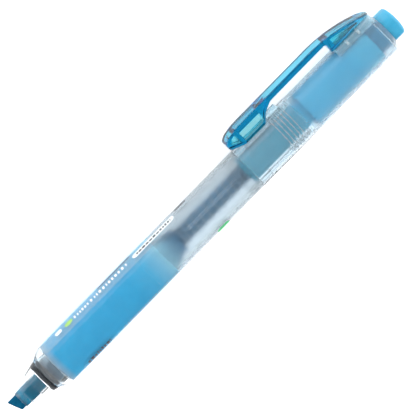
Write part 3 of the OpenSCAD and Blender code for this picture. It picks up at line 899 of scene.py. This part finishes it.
def clip_outline():
    """The clip's side outline: nose, foot, arm and the rounded back of its root."""
    arc_x, drop = 120.0, 4.1
    arc_l = CLIP_END_X - arc_x
    arc_r = (arc_l ** 2 + drop ** 2) / (2 * drop)
    arc = []
    for k in range(ARC_STEPS + 1):
        x = arc_x + arc_l * k / ARC_STEPS
        arc.append((x, CLIP_H - arc_r + math.sqrt(arc_r ** 2 - (x - arc_x) ** 2), 0))
    arm_h, root_h, foot_h = CLIP_H - 1.6, 6.9, 6.1
    nose = [(CLIP_X, 8.0, 0.5), (CLIP_X, 9.9, 0.5), (CLIP_X + 1.4, 10.8, 0.6), (CLIP_X + 4.8, CLIP_H, 1.5)]
    root = [(CLIP_END_X, root_h, 0.15), (CLIP_ROOT_X, root_h, 0.15), (CLIP_ROOT_X, arm_h, 0.5)]
    foot = [(CLIP_X + 16.3, arm_h, 0.8), (CLIP_X + 13.4, 8.4, 0.6), (CLIP_X + 11.4, foot_h, 0.5),
            (CLIP_X + 4.2, foot_h, 0.5)]
    return rounded(nose + arc + root + foot)


def clip_shape(x, t, h):
    """Rounds the root's end in plan, and hollows the foot to sit on the barrel."""
    round_x = CLIP_END_X + 0.05 - CLIP_W
    if x > round_x:
        t *= math.sqrt(max(0.02, 1 - ((x - round_x) / (CLIP_W + 0.05)) ** 2))
    skin = BARREL_R + 0.07
    return x, t, max(h, math.sqrt(skin ** 2 - t * t))


def cavity(outline, half_width):
    """A hollow inside a solid, as points and faces that are turned inwards later."""
    return slab_parts(rounded(outline, 0.35), half_width, 0.25, layers=2)


def build_clip():
    """One moulding, hollowed in its root, its foot and its nose."""
    points, faces = slab_parts(clip_outline(), CLIP_W, 0.32, layers=8, adjust=clip_shape)
    inward = []
    root = [(126.7, 7.5), (126.7, 9.9), (130.0, 9.1), (134.0, 7.8), (135.2, 7.5)]
    foot = [(92.8, 6.75), (92.8, 9.75), (100.5, 9.75), (100.2, 7.6), (99.3, 6.75)]
    nose = [(89.4, 8.7), (90.3, 9.9), (91.8, 10.2), (91.8, 7.1), (90.9, 7.6)]
    for outline, half in ((root, 1.35), (foot, 1.86), (nose, 1.7)):
        more_points, more_faces = cavity(outline, half)
        offset = len(points)
        inward += range(len(faces), len(faces) + len(more_faces))
        faces += [[i + offset for i in face] for face in more_faces]
        points += more_points
    piece = finish_mesh("clip", points, faces, None, ["clip_cyan"], inward=inward)
    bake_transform(piece)
    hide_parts("clip_arm", "clip_root")


def build_button():
    """A cap with a round edge and a slightly domed end, hollow for the plunger."""
    dome, edge, steps = 0.5, 1.0, 6
    bore, flange_r = 3.35, 4.62
    bore_end_x, flange_end_x = PEN_END_X - 3.4, BUTTON_X + 1.5
    cap = []
    for k in range(steps + 1):
        a = math.pi / 2 * k / steps
        cap.append((PEN_END_X - dome - edge * (1 - math.sin(a)), BUTTON_R - edge * (1 - math.cos(a)), 0))
    crown = []
    for k in range(steps - 1, -1, -1):
        share = k / steps
        crown.append((PEN_END_X - dome * share ** 2, (BUTTON_R - edge) * share, 0))
    outline = rounded(
        [(bore_end_x, 0, 0), (bore_end_x, bore, 0.2), (BUTTON_X, bore, 0.1), (BUTTON_X, flange_r, 0.15),
         (flange_end_x, flange_r, 0.15), (flange_end_x, BUTTON_R, 0.05)] + cap + crown, closed=False)
    piece = lathe("button_cap", outline, "button_unit", ["button_cyan"], closed=False)
    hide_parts("button")


# ---------------------------------------------------------------- printing

def dashes(dice, x_from, x_to, angle_from, angle_to, length, gap):
    """A row of bars of uneven length and height, as plain as a ruler's marks."""
    cells = []
    x = x_from
    while x < x_to:
        end = min(x_to, x + dice.uniform(*length))
        trim = dice.uniform(0.0, 0.25) * (angle_to - angle_from)
        cells += strip(x, end, angle_from, angle_to - trim)
        x = end + dice.uniform(*gap)
    return cells


def build_print():
    """Plain bars, dots and a rounded label in place of the printing on the front barrel, and two pale lines
    that are painted highlights.

    A patch goes from one station to another, and from one angle to another, in degrees from the clip.
    """
    dice = random.Random(7)
    lift = 0.012
    # a faint pale translucent band over the clip side of the front barrel, from station 16.6 to 66
    wrapped("pale_band", strip(16.6, 66.0, -32, 12, 1.0), 0.5 * lift, "pale_band_cover")
    light = strip(21.8, 24.0, -15, -3, 0.3)
    light += dashes(dice, 28.6, 48.4, -16, -6, (0.3, 0.8), (0.45, 0.8))
    wrapped("bars_light", light, lift, "print_white")
    wrapped("dot_lime", strip(25.2, 28.0, -18, -3, 1.3), lift, "print_lime")
    wrapped("label", strip(50.4, 65.5, -19, -4, 0.8), lift, "print_white")
    dark = dashes(dice, 51.8, 64.4, -15.5, -7.5, (0.5, 1.1), (0.3, 0.4))
    dark += strip(66.8, 70.6, -1, 7) + strip(38.0, 50.0, 3, 10)
    dark += dashes(dice, 22.8, 31.2, -138, -121, (0.3, 1.2), (0.2, 0.4))
    wrapped("bars_dark", dark, 2 * lift, "print_dark")
    # two pale lines along the barrel: painted highlights, not print
    painted_highlight_lines = strip(65.5, 83.5, -61.6, -60.6) + strip(65.5, 83.5, -67.2, -66.2)
    wrapped("painted_highlight_lines", painted_highlight_lines, lift, "pale_highlight_paint")
    fine = dashes(dice, 36.0, 57.0, -135, -130, (0.3, 0.9), (0.25, 0.5))
    wrapped("bars_fine", fine, lift, "print_grey")
    wrapped("patch_green", strip(70.8, 75.0, -150, -128, 0.9), lift, "print_green")


def dress_inner_nodes():
    """Materials of the CAD nodes that stay as they are."""
    dresses = {
        "tail_seal": "black_rubber", "ink_reservoir": "ink_fibre", "tail_plug": "slate",
        "cam_sleeve": "cyan_core", "clip_pins": "white_plastic", "plunger": "cyan_core",
        "rotor": "rotor_blue"}
    for node, material in dresses.items():
        mesh = frame["nodes"][node].data
        mesh.materials.clear()
        mesh.materials.append(MATERIALS[material])


# ---------------------------------------------------------------- stage

PHOTO_TILT = math.radians(45.6)
VIEW_ELEVATION = math.radians(42)
VIEW_WIDTH = 0.1092
LENS, SENSOR = 180.0, 36.0
AIM_RIGHT, AIM_UP = 0.0010, 0.0013
FLOOR_HALF = 3.0
FLOOR_GLOW = 0.75
DIM_ROOM, BRIGHT_ENDS = 0.16, 2.2


def build_camera():
    """Looks down at the clip's side, rolled so that the pen rises to the upper right."""
    toward = Vector((0, -math.cos(VIEW_ELEVATION), math.sin(VIEW_ELEVATION)))
    flat_up = TAILWARD.cross(toward) * -1
    right = TAILWARD * math.cos(PHOTO_TILT) - flat_up * math.sin(PHOTO_TILT)
    up = TAILWARD * math.sin(PHOTO_TILT) + flat_up * math.cos(PHOTO_TILT)
    middle = pen_point(PEN_END_X / 2, 0, 0) + right * AIM_RIGHT + up * AIM_UP
    distance = VIEW_WIDTH / 2 / (SENSOR / 2 / LENS)
    camera = bpy.data.cameras.new("camera")
    camera.lens, camera.sensor_width = LENS, SENSOR
    holder = bpy.data.objects.new("camera", camera)
    bpy.context.scene.collection.objects.link(holder)
    turn = Matrix((right, up, toward)).transposed().to_4x4()
    holder.matrix_world = Matrix.Translation(middle + toward * distance) @ turn
    bpy.context.scene.camera = holder


def build_floor():
    """A white light table."""
    material, shader = new_material("floor_white")
    pale = two_colours(material, noise(material, 0.02, detail=2), (0.92, 0.92, 0.92), (0.94, 0.94, 0.94))
    link(material, pale, shader.inputs["Base Color"])
    set_shader(shader, Roughness=0.9, Emission_Color=(1, 1, 1, 1), Emission_Strength=FLOOR_GLOW)
    mesh = bpy.data.meshes.new("floor")
    corners = [(a * FLOOR_HALF, b * FLOOR_HALF, 0) for a, b in ((-1, -1), (1, -1), (1, 1), (-1, 1))]
    mesh.from_pydata(corners, [], [(0, 1, 2, 3)])
    mesh.materials.append(material)
    floor = bpy.data.objects.new("floor", mesh)
    bpy.context.scene.collection.objects.link(floor)


def build_world():
    """A dim room with soft light from beyond the pen's two ends."""
    world = bpy.data.worlds.new("studio")
    world.use_nodes = True
    background = world.node_tree.nodes["Background"]
    coordinates = add_node(world, "ShaderNodeTexCoord")
    separate = add_node(world, "ShaderNodeSeparateXYZ")
    link(world, coordinates.outputs["Generated"], separate.inputs["Vector"])
    size = add_node(world, "ShaderNodeMath", operation="ABSOLUTE")
    link(world, separate.outputs["X"], size.inputs[0])
    light = ramp(world, size.outputs["Value"], DIM_ROOM, BRIGHT_ENDS, 0.15, 0.6)
    link(world, light, background.inputs["Strength"])
    background.inputs["Color"].default_value = (0.97, 0.985, 1.0, 1)
    bpy.context.scene.world = world
    bpy.context.scene.view_settings.view_transform = "Standard"


build_front_barrel()
build_nose()
build_inner_tubes()
build_joint_bush()
build_spring()
build_nib()
build_refill()
build_rear_barrel()
build_pads()
build_clip()
build_button()
build_print()
dress_inner_nodes()
build_floor()
build_world()
build_camera()

bpy.context.view_layer.update()
